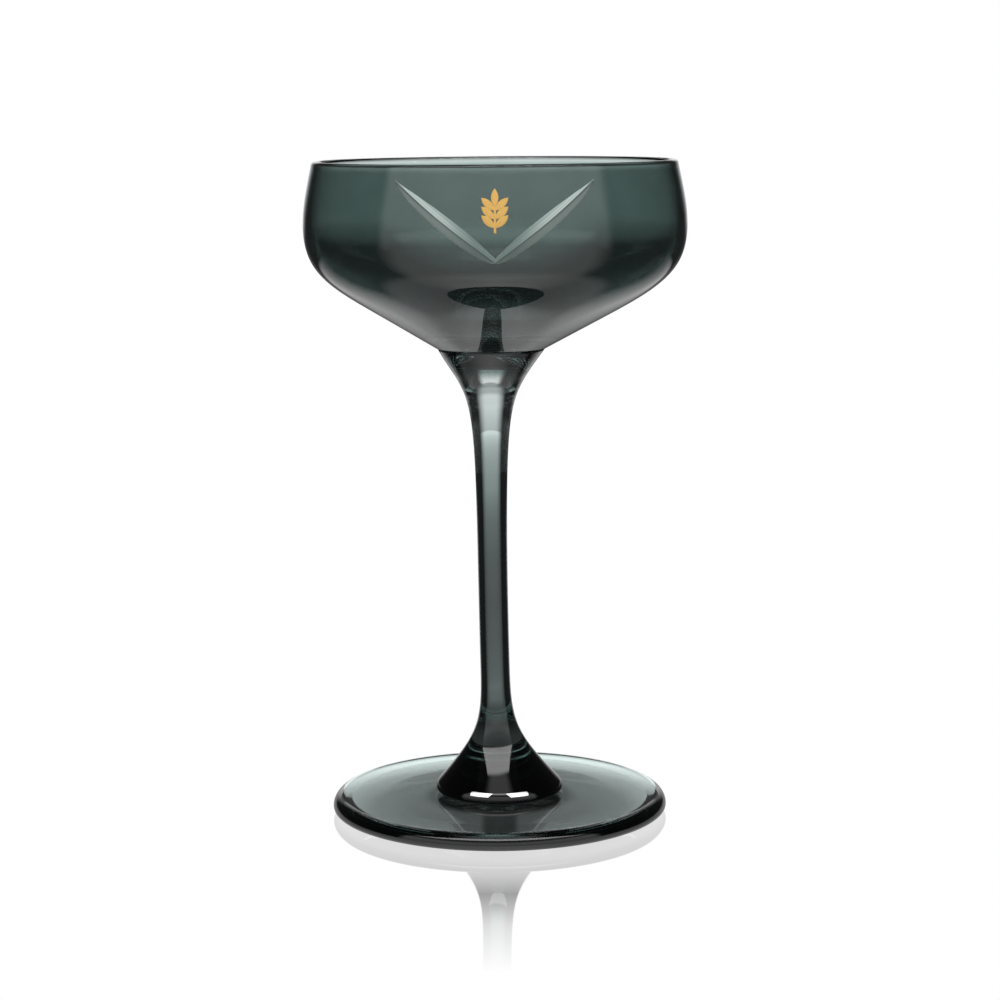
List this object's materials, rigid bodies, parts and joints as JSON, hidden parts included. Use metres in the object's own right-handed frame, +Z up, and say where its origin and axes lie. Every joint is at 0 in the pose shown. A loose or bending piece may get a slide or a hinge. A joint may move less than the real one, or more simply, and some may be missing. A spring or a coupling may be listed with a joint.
{
  "type": "coupe glass",
  "caption": "Stemmed coupe glass in smoke-tinted glass with a wide bowl, mitre cuts meeting in a V, a gold sprig and a disc foot.",
  "frame": {"origin": "on the table under the middle of the foot, on the axis of the stem", "axes": "+Z up along the stem to the rim; -Y towards the cut and gilded front; +X to the right seen from the front"},
  "size_m": [0.0912, 0.0917, 0.158],
  "materials": {
    "smoke_glass": "clear soda-lime glass with a transparent grey-green smoke coat outside, fire polished; the two cuts go through the coat",
    "gold_lustre": "fired-on gold lustre, satin"
  },
  "bodies": {
    "root": {"bowl": "smoke_glass", "stem": "smoke_glass", "foot": "smoke_glass", "gold_emblem": "gold_lustre"}
  },
  "joints": []
}
